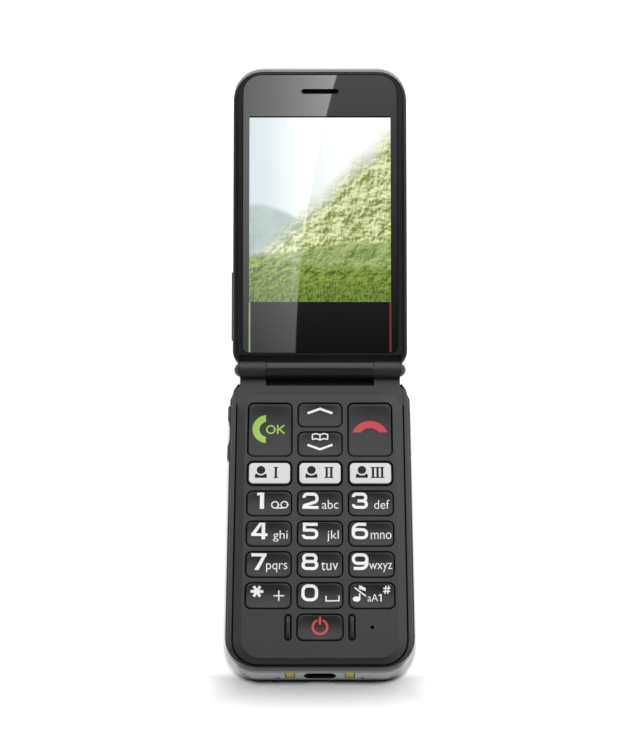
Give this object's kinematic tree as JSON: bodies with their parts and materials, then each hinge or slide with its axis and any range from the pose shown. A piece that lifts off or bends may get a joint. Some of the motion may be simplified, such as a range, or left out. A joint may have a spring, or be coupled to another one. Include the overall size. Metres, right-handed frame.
{
  "type": "flip phone",
  "caption": "Open clamshell phone with large dished keys, quick-contact keys, a tall display, interleaved barrel hinge, side keys and a USB-C socket in the bottom end.",
  "frame": {"origin": "centre of the keypad half's rear rest face", "axes": "+Z out of the keypad, +Y towards the hinge and the display half, +X to the user's right"},
  "size_m": [0.0554, 0.185, 0.0418],
  "materials": {
    "deck_plastic": "fine satin moulding, dark grey",
    "case_plastic": "satin moulding, near black",
    "cover_plastic": "silver paint on a moulded shell",
    "key_plastic": "satin moulding with printed signs",
    "label_plastic": "white moulding with printed signs",
    "lens_plastic": "clear sheet, printed black behind",
    "display_panel": "liquid crystal panel",
    "battery_can": "wrapped cell",
    "circuit_board": "solder mask",
    "steel": "pressed",
    "gold_plate": "gold plate",
    "black_plastic": "moulded",
    "flex_circuit": "polyimide film"
  },
  "bodies": {
    "base": {"base_front_case": "deck_plastic", "base_frame": "case_plastic", "base_rear_cover": "cover_plastic", "case_screws": "steel", "main_board": "circuit_board", "dome_sheet": "steel", "battery": "battery_can", "sim_holder": "steel", "loudspeaker": "black_plastic", "vibration_motor": "steel", "microphone": "gold_plate", "port_board": "circuit_board", "usb_socket": "steel", "usb_tongue": "black_plastic", "charge_contacts": "gold_plate", "guard_bars": "case_plastic", "hinge_drive_shaft": "steel", "hinge_pivot_bush": "steel", "hinge_end_caps": "case_plastic"},
    "lid": {"lid_front_case": "case_plastic", "lid_outer_cover": "cover_plastic", "display_lens": "lens_plastic", "display_module": "display_panel", "earpiece_mesh": "black_plastic", "earpiece_speaker": "black_plastic", "lid_board": "circuit_board", "closing_magnet": "steel", "outer_window": "lens_plastic", "outer_display": "display_panel", "camera_module": "black_plastic", "hinge_cartridge": "steel", "hinge_flex": "flex_circuit"},
    "ok_key": {"ok_key": "key_plastic"},
    "up_key": {"up_key": "key_plastic"},
    "down_key": {"down_key": "key_plastic"},
    "end_key": {"end_key": "key_plastic"},
    "power_key": {"power_key": "key_plastic"},
    "contact_key_1": {"contact_key_1": "key_plastic", "contact_label_1": "label_plastic"},
    "contact_key_2": {"contact_key_2": "key_plastic", "contact_label_2": "label_plastic"},
    "contact_key_3": {"contact_key_3": "key_plastic", "contact_label_3": "label_plastic"},
    "key_1": {"key_1": "key_plastic"},
    "key_2": {"key_2": "key_plastic"},
    "key_3": {"key_3": "key_plastic"},
    "key_4": {"key_4": "key_plastic"},
    "key_5": {"key_5": "key_plastic"},
    "key_6": {"key_6": "key_plastic"},
    "key_7": {"key_7": "key_plastic"},
    "key_8": {"key_8": "key_plastic"},
    "key_9": {"key_9": "key_plastic"},
    "key_star": {"key_star": "key_plastic"},
    "key_0": {"key_0": "key_plastic"},
    "key_hash": {"key_hash": "key_plastic"},
    "volume_rocker": {"volume_rocker": "key_plastic"},
    "lid_side_key": {"lid_side_key": "key_plastic"}
  },
  "joints": [
    {"name": "lid_hinge", "type": "hinge", "parent": "base", "child": "lid", "pos_m": [0, 0.0486, 0.0106], "axis": [1, 0, 0], "range_deg": [0, 160]},
    {"name": "ok_key_press", "type": "slide", "parent": "base", "child": "ok_key", "axis": [0, 0, -1], "range_m": [0, 0.0004], "stiffness_N_per_m": 600},
    {"name": "up_key_press", "type": "slide", "parent": "base", "child": "up_key", "axis": [0, 0, -1], "range_m": [0, 0.0004], "stiffness_N_per_m": 600},
    {"name": "down_key_press", "type": "slide", "parent": "base", "child": "down_key", "axis": [0, 0, -1], "range_m": [0, 0.0004], "stiffness_N_per_m": 600},
    {"name": "end_key_press", "type": "slide", "parent": "base", "child": "end_key", "axis": [0, 0, -1], "range_m": [0, 0.0004], "stiffness_N_per_m": 600},
    {"name": "power_key_press", "type": "slide", "parent": "base", "child": "power_key", "axis": [0, 0, -1], "range_m": [0, 0.0004], "stiffness_N_per_m": 600},
    {"name": "contact_key_1_press", "type": "slide", "parent": "base", "child": "contact_key_1", "axis": [0, 0, -1], "range_m": [0, 0.0004], "stiffness_N_per_m": 600},
    {"name": "contact_key_2_press", "type": "slide", "parent": "base", "child": "contact_key_2", "axis": [0, 0, -1], "range_m": [0, 0.0004], "stiffness_N_per_m": 600},
    {"name": "contact_key_3_press", "type": "slide", "parent": "base", "child": "contact_key_3", "axis": [0, 0, -1], "range_m": [0, 0.0004], "stiffness_N_per_m": 600},
    {"name": "key_1_press", "type": "slide", "parent": "base", "child": "key_1", "axis": [0, 0, -1], "range_m": [0, 0.0004], "stiffness_N_per_m": 600},
    {"name": "key_2_press", "type": "slide", "parent": "base", "child": "key_2", "axis": [0, 0, -1], "range_m": [0, 0.0004], "stiffness_N_per_m": 600},
    {"name": "key_3_press", "type": "slide", "parent": "base", "child": "key_3", "axis": [0, 0, -1], "range_m": [0, 0.0004], "stiffness_N_per_m": 600},
    {"name": "key_4_press", "type": "slide", "parent": "base", "child": "key_4", "axis": [0, 0, -1], "range_m": [0, 0.0004], "stiffness_N_per_m": 600},
    {"name": "key_5_press", "type": "slide", "parent": "base", "child": "key_5", "axis": [0, 0, -1], "range_m": [0, 0.0004], "stiffness_N_per_m": 600},
    {"name": "key_6_press", "type": "slide", "parent": "base", "child": "key_6", "axis": [0, 0, -1], "range_m": [0, 0.0004], "stiffness_N_per_m": 600},
    {"name": "key_7_press", "type": "slide", "parent": "base", "child": "key_7", "axis": [0, 0, -1], "range_m": [0, 0.0004], "stiffness_N_per_m": 600},
    {"name": "key_8_press", "type": "slide", "parent": "base", "child": "key_8", "axis": [0, 0, -1], "range_m": [0, 0.0004], "stiffness_N_per_m": 600},
    {"name": "key_9_press", "type": "slide", "parent": "base", "child": "key_9", "axis": [0, 0, -1], "range_m": [0, 0.0004], "stiffness_N_per_m": 600},
    {"name": "key_star_press", "type": "slide", "parent": "base", "child": "key_star", "axis": [0, 0, -1], "range_m": [0, 0.0004], "stiffness_N_per_m": 600},
    {"name": "key_0_press", "type": "slide", "parent": "base", "child": "key_0", "axis": [0, 0, -1], "range_m": [0, 0.0004], "stiffness_N_per_m": 600},
    {"name": "key_hash_press", "type": "slide", "parent": "base", "child": "key_hash", "axis": [0, 0, -1], "range_m": [0, 0.0004], "stiffness_N_per_m": 600},
    {"name": "volume_rocker_tilt", "type": "hinge", "parent": "base", "child": "volume_rocker", "pos_m": [-0.0248, 0.0287, 0.00765], "axis": [0, 0, 1], "range_deg": [-1.5, 1.5], "stiffness_Nm_per_rad": 0.05},
    {"name": "lid_side_key_press", "type": "slide", "parent": "lid", "child": "lid_side_key", "axis": [1, 0, 0], "range_m": [0, 0.0003], "stiffness_N_per_m": 600}
  ]
}
